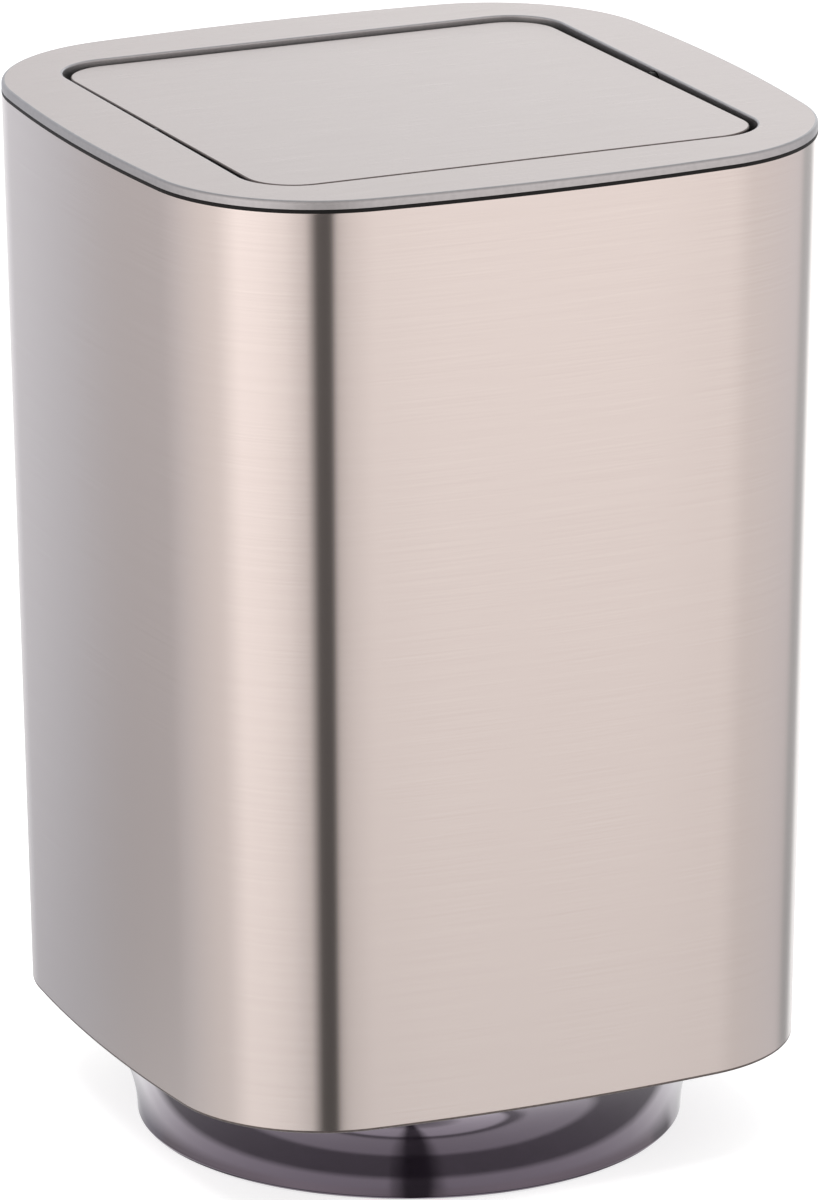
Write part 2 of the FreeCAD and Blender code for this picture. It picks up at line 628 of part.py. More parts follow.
def make_lid_carrier():
    """Moulding under the lid face: flange, collar, opening wall, ribs and two bearing blocks."""
    body = new_body("lid_carrier")
    underside = f"({RIM_TOP} + carrier_clearance)"
    flange = sketch_in(body, "carrier_flange_sketch", "XY_Plane", underside)
    draw_outline(flange, "cap_wall + carrier_clearance")
    pad_up(body, "carrier_flange", flange, "lid_rim_height - cap_wall - carrier_clearance")
    collar = sketch_in(body, "carrier_collar_sketch", "XY_Plane", underside)
    draw_outline(collar, COLLAR_INSET)
    draw_outline(collar, f"{COLLAR_INSET} + collar_wall")
    pad_down(body, "carrier_collar", collar, "collar_depth")
    wall = sketch_in(body, "carrier_wall_sketch", "XY_Plane", CAP_UNDERSIDE)
    draw_square(wall, f"{WALL_HALF} + opening_wall", f"{WALL_RADIUS} + opening_wall")
    pad_down(body, "carrier_wall", wall, "opening_wall_depth")
    near = f"({WALL_HALF} + opening_wall / 2)"
    bow = "(side_bow_radius - sqrt(side_bow_radius ^ 2 - lid_rib_spacing ^ 2))"
    far = f"(lid_width / 2 - {bow} - {COLLAR_INSET} - collar_wall / 2)"
    half = "lid_rib_thickness / 2"
    for side in ("", "-"):
        for place in ("lid_rib_spacing", "-lid_rib_spacing"):
            for name, sides in (
                ("x", (f"{side}{near}", f"{side}{far}", f"{place} - {half}", f"{place} + {half}")),
                ("y", (f"{place} - {half}", f"{place} + {half}", f"{side}{near}", f"{side}{far}")),
            ):
                rib = sketch_in(body, "carrier_rib_sketch", "XY_Plane", CAP_UNDERSIDE)
                draw_box(rib, *sides)
                pad_down(body, "carrier_rib_" + name, rib, "lid_rib_depth")
    for side in ("", "-"):
        block = sketch_in(body, "carrier_block_sketch", "XY_Plane", CAP_UNDERSIDE)
        end = f"{side}({WALL_HALF} + block_length)"
        draw_box(block, f"{side}{near}", end, "-block_width / 2", "block_width / 2")
        pad_down(body, "carrier_block", block, "block_depth")
    opening = sketch_in(body, "carrier_opening_sketch", "XY_Plane", CAP_UNDERSIDE)
    draw_square(opening, WALL_HALF, WALL_RADIUS)
    cut_down(body, "carrier_opening", opening, "opening_wall_depth")
    seat = "bush_diameter / 2 + snug_clearance"
    slot_start = f"{WALL_HALF} - snug_clearance"
    slot_length = "block_length + 2 * snug_clearance"
    for name, start, turn in (("left", f"-({slot_start})", cut_down), ("right", slot_start, cut_up)):
        slot = sketch_in(body, f"carrier_slot_{name}_sketch", "YZ_Plane", start)
        draw_box(slot, f"-({seat})", seat, f"{CAP_UNDERSIDE} - opening_wall_depth", PIVOT_LEVEL)
        turn(body, f"carrier_slot_{name}", slot, slot_length)
        top_round = sketch_in(body, f"carrier_seat_{name}_sketch", "YZ_Plane", start)
        draw_circle(top_round, ZERO, PIVOT_LEVEL, seat)
        turn(body, f"carrier_seat_{name}", top_round, slot_length)
    pilots = sketch_in(body, "carrier_pilots_sketch", "XY_Plane", BLOCK_BOTTOM)
    for x, y in bearing_screw_places():
        draw_circle(pilots, x, y, "bearing_screw_diameter / 2 + snug_clearance")
    cut_up(body, "carrier_pilots", pilots, "bearing_screw_length - bearing_cap_thickness + pilot_depth")


def bearing_screw_places():
    """X and Y of the two screws under each bearing block."""
    middle = f"({WALL_HALF} + (opening_wall + block_length) / 2)"
    aside = "bearing_screw_spacing / 2"
    return [(f"{side}{middle}", f"{turn}{aside}") for side in ("", "-") for turn in ("", "-")]


def make_pivots():
    """Bush, bearing cap and pin on each side of the flap."""
    nose_end = f"({WALL_HALF} - snug_clearance)"
    cap_start = f"({WALL_HALF} + opening_wall + snug_clearance)"
    cap_length = "(block_length - opening_wall - snug_clearance)"
    pin_start = f"({BOARD_HALF} - pin_hold)"
    pin_end = f"({nose_end} + bush_length)"
    tongue_top = f"({PIVOT_LEVEL} - bush_diameter / 2 - snug_clearance)"
    cap_bottom = f"({BLOCK_BOTTOM} - bearing_cap_thickness)"
    tongue_half = "bush_diameter / 2"
    for side in ("left", "right"):
        def along_x(name, radius, start, end):
            """A cylinder on the flap's axis between two distances from the middle."""
            place = (start if side == "right" else f"-({end})", ZERO, PIVOT_LEVEL)
            return cylinder(f"{name}_{side}", radius, f"{end} - {start}", place, along_x=True)

        nose = along_x("bush_nose", "bush_nose_diameter / 2", NOSE_INNER, nose_end)
        barrel = along_x("bush_barrel", "bush_diameter / 2", NOSE_INNER, pin_end)
        bore = along_x("bush_bore", "pin_diameter / 2 + running_clearance", NOSE_INNER, pin_end)
        piece(f"pivot_bush_{side}", cut(f"bush_{side}", fused(f"bush_blank_{side}", nose, barrel), bore))
        piece(f"pivot_pin_{side}", along_x("pin", "pin_diameter / 2", pin_start, pin_end))
        x = cap_start if side == "right" else f"-({cap_start} + {cap_length})"
        plate = box(
            f"cap_plate_{side}", (cap_length, "block_width", "bearing_cap_thickness"),
            (x, "-block_width / 2", cap_bottom))
        tongue = box(
            f"cap_tongue_{side}", (cap_length, f"2 * {tongue_half}", f"{tongue_top} - {cap_bottom}"),
            (x, f"-{tongue_half}", cap_bottom))
        hole = "bearing_screw_diameter / 2 + snug_clearance"
        holes = [
            cylinder(f"cap_hole_{side}_{count}", hole, "bearing_cap_thickness", (*place, cap_bottom))
            for count, place in enumerate(bearing_screw_places())
            if place[0].startswith("-") == (side == "left")
        ]
        blank = fused(f"bearing_blank_{side}", plate, tongue)
        piece(f"bearing_cap_{side}", cut(f"bearing_{side}", blank, *holes))
    screws(
        "bearing_screws", [(x, y, cap_bottom) for x, y in bearing_screw_places()], "bearing_screw_diameter",
        "bearing_screw_length", "bearing_screw_head", "bearing_screw_head_height")


def make_flap_plate():
    """Flat steel face of the flap."""
    body = new_body("flap_plate")
    outline = sketch_in(body, "flap_outline", "XY_Plane", BOARD_TOP)
    draw_square(outline, FLAP_HALF, "opening_corner_radius - flap_gap")
    plate = pad_up(body, "flap_sheet_metal", outline, "flap_sheet")
    top = number(FLAP_TOP)
    round_edges(body, "flap_edge", plate, "flap_edge_radius", lambda edge: lies_at(edge, top))


def make_flap_carrier():
    """Ribbed board under the flap's face, with pin bosses at its sides and a keel for the weight."""
    body = new_body("flap_carrier")
    corner = "opening_corner_radius - flap_gap - flap_inset"
    outline = sketch_in(body, "board_outline", "XY_Plane", BOARD_TOP)
    draw_square(outline, BOARD_HALF, corner)
    pad_down(body, "board_blank", outline, "flap_skirt_depth")
    hollow = sketch_in(body, "board_hollow_sketch", "XY_Plane", BOARD_BOTTOM)
    draw_square(hollow, f"{BOARD_HALF} - flap_skirt_wall", f"{corner} - flap_skirt_wall")
    cut_down(body, "board_hollow", hollow, "flap_skirt_depth - flap_board")
    reach = f"({BOARD_HALF} - flap_skirt_wall / 2)"
    half = "flap_rib_thickness / 2"
    column = "(keel_spacing / 2)"
    for name, sides in (
        ("spine", (f"-{reach}", reach, f"-{half}", half)),
        ("rib_left", (f"-{column} - {half}", f"-{column} + {half}", f"-{reach}", reach)),
        ("rib_right", (f"{column} - {half}", f"{column} + {half}", f"-{reach}", reach)),
    ):
        rib = sketch_in(body, f"flap_{name}_sketch", "XY_Plane", BOARD_BOTTOM)
        draw_box(rib, *sides)
        pad_down(body, "flap_" + name, rib, "flap_rib_depth")
    boss_half = "pin_boss_width / 2"
    for side in ("", "-"):
        boss = sketch_in(body, "pin_boss_sketch", "XY_Plane", BOARD_TOP)
        start = f"{side}({BOARD_HALF} - pin_hold - flap_skirt_wall)"
        draw_box(boss, start, f"{side}{BOARD_HALF}", f"-{boss_half}", boss_half)
        pad_down(body, "pin_boss", boss, "pin_boss_depth")
    columns = sketch_in(body, "keel_sketch", "XY_Plane", BOARD_BOTTOM)
    pilots = sketch_in(body, "keel_pilots_sketch", "XY_Plane", KEEL_BOTTOM)
    for x in (column, f"-{column}"):
        draw_circle(columns, x, ZERO, "keel_column_diameter / 2")
        draw_circle(pilots, x, ZERO, "weight_screw_diameter / 2 + snug_clearance")
    pad_down(body, "keel_columns", columns, "keel_depth")
    cut_up(body, "keel_pilots", pilots, "weight_screw_length - weight_height + pilot_depth")
    for name, start, turn in (("left", f"-{BOARD_HALF}", cut_up), ("right", BOARD_HALF, cut_down)):
        bore = sketch_in(body, f"pin_bore_{name}_sketch", "YZ_Plane", start)
        draw_circle(bore, ZERO, PIVOT_LEVEL, "pin_diameter / 2 + snug_clearance / 2")
        turn(body, f"pin_bore_{name}", bore, "pin_hold")


def make_counterweight():
    """Steel bar under the keel, which keeps the flap's centre of gravity below its axis."""
    blank = box(
        "weight_bar", ("weight_length", "weight_width", "weight_height"),
        ("-weight_length / 2", "-weight_width / 2", WEIGHT_BOTTOM))
    places = ("keel_spacing / 2", "-keel_spacing / 2")
    hole = "weight_screw_diameter / 2 + snug_clearance"
    holes = [
        cylinder(f"weight_hole_{count}", hole, "weight_height", (x, ZERO, WEIGHT_BOTTOM))
        for count, x in enumerate(places)
    ]
    piece("counterweight", cut("weight", blank, *holes))
    screws(
        "counterweight_screws", [(x, ZERO, WEIGHT_BOTTOM) for x in places], "weight_screw_diameter",
        "weight_screw_length", "weight_screw_head", "weight_screw_head_height")


def check_document():
    """Stops if a feature failed, a piece has no sound shape or a cut took nothing away."""
    for item in doc.Objects:
        if "Invalid" in item.State or "Error" in item.State:
            raise RuntimeError(f"{item.Name} failed: {item.State}")
        if item.TypeId in ("PartDesign::Pocket", "PartDesign::SubtractiveLoft"):
            if item.Shape.Volume > item.BaseFeature.Shape.Volume - TOUCH:
                raise RuntimeError(f"{item.Name} cuts nothing")
    for item in pieces:
        if item.Shape.isNull() or not item.Shape.isValid():
            raise RuntimeError(f"{item.Label} has no sound shape")


make_sleeve()
make_foot()
make_ring()
make_base()
screws(
    "foot_screws", [(x, y, FOOT_UNDERSIDE) for x, y in around("column_circle_radius")], "foot_screw_diameter",
    "foot_screw_length", "foot_screw_head", "foot_screw_head_height")
make_bucket()
make_lid_cap()
make_lid_carrier()
make_pivots()
make_flap_plate()
make_flap_carrier()
make_counterweight()
doc.recompute()
check_document()

os.makedirs("parts", exist_ok=True)
for item in pieces:
    item.Shape.exportStep(f"parts/{item.Label}.step")
    print(f"{item.Label}: {len(item.Shape.Solids)} solids, {item.Shape.Volume:.0f} cubic mm")
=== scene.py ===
"""Looks of a square waste bin: brushed steel sleeve, lid and flap, black bucket, dark glossy foot.

Every shape that goes round the bin is a skin of rings: a ring gives a distance r from the upright axis
for each direction t, and its points are (r cos t, r sin t, z). Lengths are in metres, in the frame of
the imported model; sizes in millimetres are written with MM.
"""
import json
import math
import bmesh
import bpy
import numpy as np
from mathutils import Matrix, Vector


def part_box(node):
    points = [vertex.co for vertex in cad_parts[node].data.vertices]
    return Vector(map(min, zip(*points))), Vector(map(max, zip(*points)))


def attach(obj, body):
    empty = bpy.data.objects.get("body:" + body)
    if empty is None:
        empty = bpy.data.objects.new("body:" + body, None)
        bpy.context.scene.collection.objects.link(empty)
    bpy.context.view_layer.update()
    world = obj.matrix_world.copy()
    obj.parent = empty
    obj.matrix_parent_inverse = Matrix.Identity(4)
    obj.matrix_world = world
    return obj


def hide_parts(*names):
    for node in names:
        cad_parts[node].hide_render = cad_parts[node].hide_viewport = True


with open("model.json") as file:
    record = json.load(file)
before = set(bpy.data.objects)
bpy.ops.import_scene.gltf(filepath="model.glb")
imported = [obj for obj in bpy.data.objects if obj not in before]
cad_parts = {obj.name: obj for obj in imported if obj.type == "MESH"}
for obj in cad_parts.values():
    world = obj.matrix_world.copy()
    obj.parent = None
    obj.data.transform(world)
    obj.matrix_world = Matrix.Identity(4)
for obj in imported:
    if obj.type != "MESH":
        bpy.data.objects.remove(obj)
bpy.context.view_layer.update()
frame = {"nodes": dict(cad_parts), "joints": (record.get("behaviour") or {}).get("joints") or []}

MM = 0.001
QUARTER_TURN = math.pi / 2

# Levels above the floor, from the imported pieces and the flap's joint
SLEEVE_BOTTOM, SLEEVE_TOP = (corner.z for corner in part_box("outer_sleeve"))
BUCKET_BOTTOM, RIM_TOP = (corner.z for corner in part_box("inner_bucket"))
FLANGE_BOTTOM, LID_TOP = (corner.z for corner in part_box("lid_cap"))
FLAP_BOTTOM, FLAP_TOP = (corner.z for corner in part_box("flap_plate"))
FOOT_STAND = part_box("foot_dish")[0].z
FOOT_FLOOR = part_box("base_plate")[0].z
GROOVE_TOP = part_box("anti_slip_ring")[1].z
flap_swing = next(joint for joint in frame["joints"] if joint["name"] == "flap_swing")
PIVOT = flap_swing["pos_m"][2]

# Outline that sleeve, bucket rim and lid share: four bowed sides, joined by corner arcs without a kink.
# A corner's centre lies on the diagonal, as far from the side's centre as the two radii differ.
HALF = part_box("lid_cap")[1].x
SIDE_RADIUS = 550 * MM
CORNER_RADIUS = 47.9 * MM
SIDE_CENTRE = HALF - SIDE_RADIUS
CORNER_CENTRE = (SIDE_CENTRE + math.sqrt(2 * (SIDE_RADIUS - CORNER_RADIUS) ** 2 - SIDE_CENTRE ** 2)) / 2
SIDE_TURN = math.atan2(CORNER_CENTRE, CORNER_CENTRE - SIDE_CENTRE)

# Steel sheet, and the sleeve; painted shade darkens the sleeve's bent bottom up to a height given below
SHEET = 0.6 * MM
SLEEVE_TAPER = 4.7 * MM
SLEEVE_EDGE = 0.15 * MM
BEND_OUTSIDE = 0.6 * MM
BEND_INSIDE = 0.3 * MM
# Height above the sleeve's bottom up to which painted shade, the dark steel, covers its bend
BEND_SHADE_HEIGHT = 0.9 * MM
BOTTOM_LIP = 6 * MM
BOTTOM_HOLE = 81.63 * MM

# Lid face with its opening; LID_MARGIN places the outermost rings of its flat part
LID_EDGE = 0.9 * MM
LID_MARGIN = 1.2 * MM
OPENING_HALF = 75.0 * MM
OPENING_CORNER = 16.0 * MM
OPENING_EDGE = 0.5 * MM
NOTCH = 3.1 * MM

# Flap; FLAP_MARGIN does the same for its flat face
FLAP_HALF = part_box("flap_plate")[1].x
FLAP_CORNER = 13.8 * MM
FLAP_EDGE = 0.4 * MM
FLAP_MARGIN = 0.8 * MM
FLAP_SLOPE = 0.006

# Bucket; BUCKET_MIDDLE is how far in the flat middle of its floor begins
BUCKET_GAP = 1.2 * MM
BUCKET_WALL = 1.6 * MM
BUCKET_FLOOR = 2 * MM
BUCKET_CORNER = 6 * MM
BUCKET_MIDDLE = 40 * MM
HANGING_EDGE = 0.15 * MM
RIM_EDGE = 0.2 * MM
MOUTH_EDGE = 0.5 * MM

# Foot: radii, widths and the levels between which its wall is a plain arc
FOOT_RADIUS = 76.1 * MM
FOOT_FLARE = 43 * MM
FOOT_WALL = 3 * MM
FOOT_MIDDLE = 40 * MM
FOOT_RECESS = 3.2 * MM
RECESS_RADIUS = FOOT_RADIUS - 6 * MM
GROOVE_INSIDE = FOOT_RADIUS - 4.8 * MM
GROOVE_OUTSIDE = FOOT_RADIUS - 2.4 * MM
FLARE_BOTTOM = 2.2 * MM
FLARE_TOP = SLEEVE_BOTTOM - 0.8 * MM
HOLLOW_BOTTOM = FOOT_FLOOR + 5 * MM
FOOT_CORNER = 4 * MM
STANDING_EDGE = 1.2 * MM
RECESS_CORNER = 0.6 * MM
RECESS_EDGE = 0.3 * MM
GROOVE_EDGE = 0.2 * MM
DISH_EDGE = 0.25 * MM

# A rounded corner's steps, and how far before and after it the path is held straight
ARC_STEPS = 6
HOLD = 0.25 * MM
SHORT_HOLD = 0.1 * MM


def directions():
    """Angles round the axis, closest together at the corners and beside the flap's two bushes."""
    notch = math.degrees(math.atan2(NOTCH, OPENING_HALF))
    step_down = 0.02
    # Degrees at which the spacing changes, and the number of steps from each to the next
    marks = np.radians((0, notch - step_down, notch + step_down, 28, 38, 45))
    counts = (14, 1, 12, 22, 18)
    spans = zip(marks, marks[1:], counts)
    parts = [np.linspace(low, high, count, endpoint=False) for low, high, count in spans]
    eighth = np.concatenate([*parts, marks[-1:]])
    quarter = np.concatenate([-eighth[:0:-1], eighth[:-1]])
    return np.concatenate([quarter + turn * QUARTER_TURN for turn in range(4)])


AROUND = directions()


def folded(angle):
    """The angle mirrored into the eighth of a turn that the whole outline repeats."""
    return np.abs((angle + QUARTER_TURN / 2) % QUARTER_TURN - QUARTER_TURN / 2)


def ray_to_arc(angle, along, aside, radius):
    """Distance from the axis to the far side of a circle about (along, aside), in direction angle.

    With b = along cos t + aside sin t it is b + sqrt(b^2 - along^2 - aside^2 + radius^2).
    """
    reach = along * np.cos(angle) + aside * np.sin(angle)
    return reach + np.sqrt(np.maximum(reach ** 2 - along ** 2 - aside ** 2 + radius ** 2, 0))


def outline(inset):
    """The bin's outline drawn in by inset: a bowed side's arc, then a corner's arc, in each eighth."""
    angle = folded(AROUND)
    side = SIDE_RADIUS - inset
    join = math.atan2(side * math.sin(SIDE_TURN), SIDE_CENTRE + side * math.cos(SIDE_TURN))
    bowed = ray_to_arc(angle, SIDE_CENTRE, 0, side)
    corner = ray_to_arc(angle, CORNER_CENTRE, CORNER_CENTRE, CORNER_RADIUS - inset)
    return np.where(angle < join, bowed, corner)


def square(half, corner):
    """A square with round corners: half / cos t along its straight sides, then a corner's arc."""
    angle = folded(AROUND)
    middle = half - corner
    join = math.atan2(middle, half)
    return np.where(angle < join, half / np.cos(angle), ray_to_arc(angle, middle, middle, corner))


def circle(radius):
    """A circle about the axis."""
    return np.full(AROUND.shape, radius)


def rounded(corners, hold=HOLD):
    """A path through (a, b, radius) corners, each turned by a circular arc; the two ends need no radius.

    An arc's centre lies on the corner's bisector at radius / sin(half angle); a point a little before
    and after each arc keeps the straight runs flat when they are shaded smoothly.
    """
    points = np.array([corner[:2] for corner in corners], float)
    radii = [corner[2] for corner in corners[1:-1]]
    share = np.linspace(0, 1, ARC_STEPS + 1)[:, None]
    path = [points[:1]]
    for before, here, after, radius in zip(points, points[1:], points[2:], radii):
        back = (before - here) / np.linalg.norm(before - here)
        on = (after - here) / np.linalg.norm(after - here)
        half_angle = math.acos(np.clip(back @ on, -1, 1)) / 2
        run = radius / math.tan(half_angle)
        centre = here + (back + on) / np.linalg.norm(back + on) * radius / math.sin(half_angle)
        start = here + back * run - centre
        end = here + on * run - centre
        sweep = math.pi - 2 * half_angle
        arc = centre + (np.sin((1 - share) * sweep) * start + np.sin(share * sweep) * end) / math.sin(sweep)
        path += [arc[:1] + back * hold, arc, arc[-1:] + on * hold]
    path.append(points[-1:])
    return np.concatenate(path)


def put(name, data):
    """An object for a mesh, a lamp or a camera, in the scene."""
    made = bpy.data.objects.new(name, data)
    bpy.context.scene.collection.objects.link(made)
    return made


def lengths(row):
    """Lengths along a closed row of points, from 0 at the first to the whole way round."""
    steps = np.linalg.norm(np.roll(row, -1, axis=0) - row, axis=-1)
    return np.concatenate([[0], np.cumsum(steps)])


def level_bands(levels, height):
    """For each ring, whether it and the next one both lie level at a height."""
    there = np.array([np.allclose(level, height) for level in levels])
    return there & np.roll(there, -1)


def skin(name, rings, levels, flat=False, second=False, closed=True):
    """A mesh of rings about the axis, with a UV map "brushing" in metres.

    Each ring begins a band that reaches to the next ring. U runs round the bin along its outline and V
    along the profile. Bands that are flat take X and Y instead, and those that are second take the
    piece's second finish. A ring of no size becomes a pole.
    """
    radii = np.array(rings)
    count, columns = radii.shape
    heights = np.array([np.broadcast_to(level, columns) for level in levels])
    points = np.stack([radii * np.cos(AROUND), radii * np.sin(AROUND), heights], -1)
    rim = outline(0)
    perimeter = lengths(np.stack([rim * np.cos(AROUND), rim * np.sin(AROUND)], -1))
    profile = lengths(points[:, 0])
    bands = count if closed else count - 1
    lies_flat = np.broadcast_to(flat, count)[:bands, None, None]
    finishes = np.repeat(np.broadcast_to(second, count)[:bands], columns)
    faces = []
    uv = []
    for up, along in ((0, 0), (0, 1), (1, 1), (1, 0)):
        ring = np.arange(bands)[:, None] + up
        column = np.arange(columns)[None, :] + along
        faces.append(ring % count * columns + column % columns)
        plane = points[ring % count, column % columns, :2]
        wrap = np.stack(np.broadcast_arrays(perimeter[column], profile[ring]), -1)
        uv.append(np.where(lies_flat, plane, wrap))

    mesh = bpy.data.meshes.new(name)
    mesh.from_pydata(points.reshape(-1, 3), [], np.stack(faces, -1).reshape(-1, 4))
    mesh.uv_layers.new(name="brushing").data.foreach_set("uv", np.stack(uv, -2).astype(np.float32).ravel())
    mesh.polygons.foreach_set("material_index", finishes.astype(np.int32))
    welded = bmesh.new()
    welded.from_mesh(mesh)
    bmesh.ops.remove_doubles(welded, verts=welded.verts, dist=0.0001 * MM)
    welded.to_mesh(mesh)
    welded.free()
    mesh.shade_smooth()
    mesh.set_sharp_from_angle(angle=math.radians(50))
    return put(name, mesh)


def sleeve_inset(level):
    """How far the tapered sleeve's outside lies inside the lid's outline at a level."""
    return SLEEVE_TAPER * (SLEEVE_TOP - level) / (SLEEVE_TOP - SLEEVE_BOTTOM)


def make_sleeve():
    """Steel sleeve: outside wall, top edge, inside wall and a bottom turned in to a round hole.

    Its profile of insets and levels is carried round the outline, which each inset draws in.
    """
    lip = SLEEVE_TAPER + BOTTOM_LIP
    floor = SLEEVE_BOTTOM + SHEET
    path = rounded((
        (lip, SLEEVE_BOTTOM),
        (SLEEVE_TAPER, SLEEVE_BOTTOM, BEND_OUTSIDE),
        (0, SLEEVE_TOP, SLEEVE_EDGE),
        (SHEET, SLEEVE_TOP, SLEEVE_EDGE),
        (SLEEVE_TAPER + SHEET, floor, BEND_INSIDE),
        (lip, floor),
    ))
    rings = [*(outline(inset) for inset in path[:, 0]), circle(BOTTOM_HOLE), circle(BOTTOM_HOLE)]
    levels = [*path[:, 1], floor, SLEEVE_BOTTOM]
    # Bands near the bottom take the dark second finish: painted shade along the bend, for the shadowed floor
    # that it mirrors
    low = np.array(levels) < SLEEVE_BOTTOM + BEND_SHADE_HEIGHT
    return skin("sleeve_sheet", rings, levels, second=low & np.roll(low, -1))


def make_lid():
    """Steel lid face: rim, face, and the opening's turned-down edge with a notch over each bush.

    Rings follow the outline up the rim, then the opening's square down the edge, and go back along the
    underside. Over a bush the edge ends on an arch, PIVOT + sqrt(NOTCH^2 - s^2) at s beside the pivot.
    """
    under = LID_TOP - SHEET
    rim = rounded((
        (0, RIM_TOP),
        (0, LID_TOP, LID_EDGE),
        (LID_MARGIN, LID_TOP),
    ))
    edge = rounded((
        (-OPENING_EDGE - LID_MARGIN, LID_TOP),
        (0, LID_TOP, OPENING_EDGE),
        (0, FLANGE_BOTTOM),
    ))
    turn = np.abs(AROUND - np.round(AROUND / math.pi) * math.pi)
    beside = OPENING_HALF * np.tan(np.minimum(turn, QUARTER_TURN / 2))
    arch = PIVOT + np.sqrt(np.maximum(NOTCH ** 2 - beside ** 2, 0))
    hem = np.where(beside < NOTCH, np.minimum(arch, under), FLANGE_BOTTOM)
    back = square(OPENING_HALF + SHEET, OPENING_CORNER + SHEET)
    rings = [
        *(outline(inset) for inset in rim[:, 0]),
        *(square(OPENING_HALF - inset, OPENING_CORNER - inset) for inset in edge[:, 0]),
        back,
        back,
        outline(SHEET + LID_MARGIN),
        outline(SHEET),
        outline(SHEET),
    ]
    levels = [*rim[:, 1], *np.maximum(edge[:, 1:], hem), hem, under, under, under, RIM_TOP]
    face = level_bands(levels, LID_TOP)
    outside = np.arange(len(rings)) < len(rim) + len(edge) - 1
    return skin("lid_sheet", rings, levels, face | level_bands(levels, under), outside & ~face)


def make_flap():
    """Flat steel face of the flap, a little rounded at its upper edge.

    A swinging flap seldom hangs quite level: this one falls towards the back, z = level - FLAP_SLOPE y.
    """
    edge = rounded((
        (0, FLAP_BOTTOM),
        (0, FLAP_TOP, FLAP_EDGE),
        (FLAP_MARGIN, FLAP_TOP),
    ), SHORT_HOLD)
    sides = [square(FLAP_HALF - inset, FLAP_CORNER - inset) for inset in edge[:, 0]]
    rings = [circle(0), *sides, circle(0)]
    levels = [FLAP_BOTTOM, *edge[:, 1], FLAP_TOP]
    # The edge's rounding and its side take the dark second finish: painted shade that draws the shadowed gap
    # round the flap
    flat = level_bands(levels, FLAP_BOTTOM) | level_bands(levels, FLAP_TOP)
    sloped = [level - FLAP_SLOPE * ring * np.sin(AROUND) for ring, level in zip(rings, levels)]
    return skin("flap_sheet", rings, sloped, flat, ~flat, closed=False)


def make_bucket():
    """Black bucket: outside, hanging rim, inside and floor.

    Its profile of insets and levels is carried round the outline; its walls taper as the sleeve does.
    """
    outside = SHEET + BUCKET_GAP
    inside = outside + BUCKET_WALL
    floor = BUCKET_BOTTOM + BUCKET_FLOOR
    path = rounded((
        (BUCKET_MIDDLE, BUCKET_BOTTOM),
        (sleeve_inset(BUCKET_BOTTOM) + outside, BUCKET_BOTTOM, BUCKET_CORNER),
        (outside, SLEEVE_TOP, HANGING_EDGE),
        (0, SLEEVE_TOP, HANGING_EDGE),
        (0, RIM_TOP, RIM_EDGE),
        (inside, RIM_TOP, MOUTH_EDGE),
        (sleeve_inset(floor) + inside, floor, BUCKET_CORNER - BUCKET_WALL),
        (BUCKET_MIDDLE, floor),
    ))
    rings = [circle(0), *(outline(inset) for inset in path[:, 0]), circle(0)]
    levels = [BUCKET_BOTTOM, *path[:, 1], floor]
    return skin("bucket_moulding", rings, levels, closed=False)


def foot_radius(level):
    """The foot's outer radius at a level: a hollow arc that starts upright at the standing edge."""
    return FOOT_RADIUS + FOOT_FLARE - np.sqrt(FOOT_FLARE ** 2 - (level - FOOT_STAND) ** 2)


def make_foot():
    """Glossy dish: hollow flared wall, floor above a recess, standing rim and the rubber ring's groove.

    Its profile runs from the middle of the underside round the rim, up the flare, over the top edge
    and down the inside, a wall's thickness further in.
    """
    up = np.linspace(FLARE_BOTTOM, FLARE_TOP, 28)
    down = np.linspace(FLARE_TOP, HOLLOW_BOTTOM, 20)
    under = rounded((
        (FOOT_MIDDLE, FOOT_RECESS),
        (RECESS_RADIUS, FOOT_RECESS, RECESS_CORNER),
        (RECESS_RADIUS, FOOT_STAND, RECESS_EDGE),
        (GROOVE_INSIDE, FOOT_STAND, GROOVE_EDGE),
        (GROOVE_INSIDE, GROOVE_TOP, GROOVE_EDGE),
        (GROOVE_OUTSIDE, GROOVE_TOP, GROOVE_EDGE),
        (GROOVE_OUTSIDE, FOOT_STAND, GROOVE_EDGE),
        (FOOT_RADIUS, FOOT_STAND, STANDING_EDGE),
        (FOOT_RADIUS, FLARE_BOTTOM),
    ), SHORT_HOLD)[:-1]
    flare = np.column_stack([foot_radius(up), up])
    hollow = np.column_stack([foot_radius(down) - FOOT_WALL, down])
    top = rounded((
        flare[-1],
        (foot_radius(SLEEVE_BOTTOM), SLEEVE_BOTTOM, DISH_EDGE),
        (foot_radius(SLEEVE_BOTTOM) - FOOT_WALL, SLEEVE_BOTTOM, DISH_EDGE),
        hollow[0],
    ), SHORT_HOLD)[1:-1]
    floor = rounded((
        hollow[-1],
        (foot_radius(FOOT_FLOOR) - FOOT_WALL, FOOT_FLOOR, FOOT_CORNER),
        (FOOT_MIDDLE, FOOT_FLOOR),
    ))[1:]
    path = np.concatenate([under, flare, top, hollow, floor])
    rings = [circle(0), *(circle(radius) for radius in path[:, 0]), circle(0)]
    levels = [FOOT_RECESS, *path[:, 1], FOOT_FLOOR]
    return skin("foot_moulding", rings, levels, closed=False)


def linear(code):
    """An sRGB hex colour as linear RGBA."""
    value = np.array([int(code[k:k + 2], 16) for k in (1, 3, 5)]) / 255
    value = np.where(value <= 0.04045, value / 12.92, ((value + 0.055) / 1.055) ** 2.4)
    return (*value.tolist(), 1.0)


def add(tree, kind, settings, sockets, stops=()):
    """A shader node with its settings, sockets and, on a colour ramp, (position, colour) stops.

    Each named socket is set to a value or linked to another node's output.
    """
    made = tree.nodes.new(kind)
    for name, value in settings.items():
        setattr(made, name, value)
    for name, value in sockets.items():
        if isinstance(value, bpy.types.NodeSocket):
            tree.links.new(value, made.inputs[name])
        else:
            made.inputs[name].default_value = value
    for _ in stops[2:]:
        made.color_ramp.elements.new(1.0)
    for k, (position, colour) in enumerate(stops):
        made.color_ramp.elements[k].position = position
        made.color_ramp.elements[k].color = colour
    return made


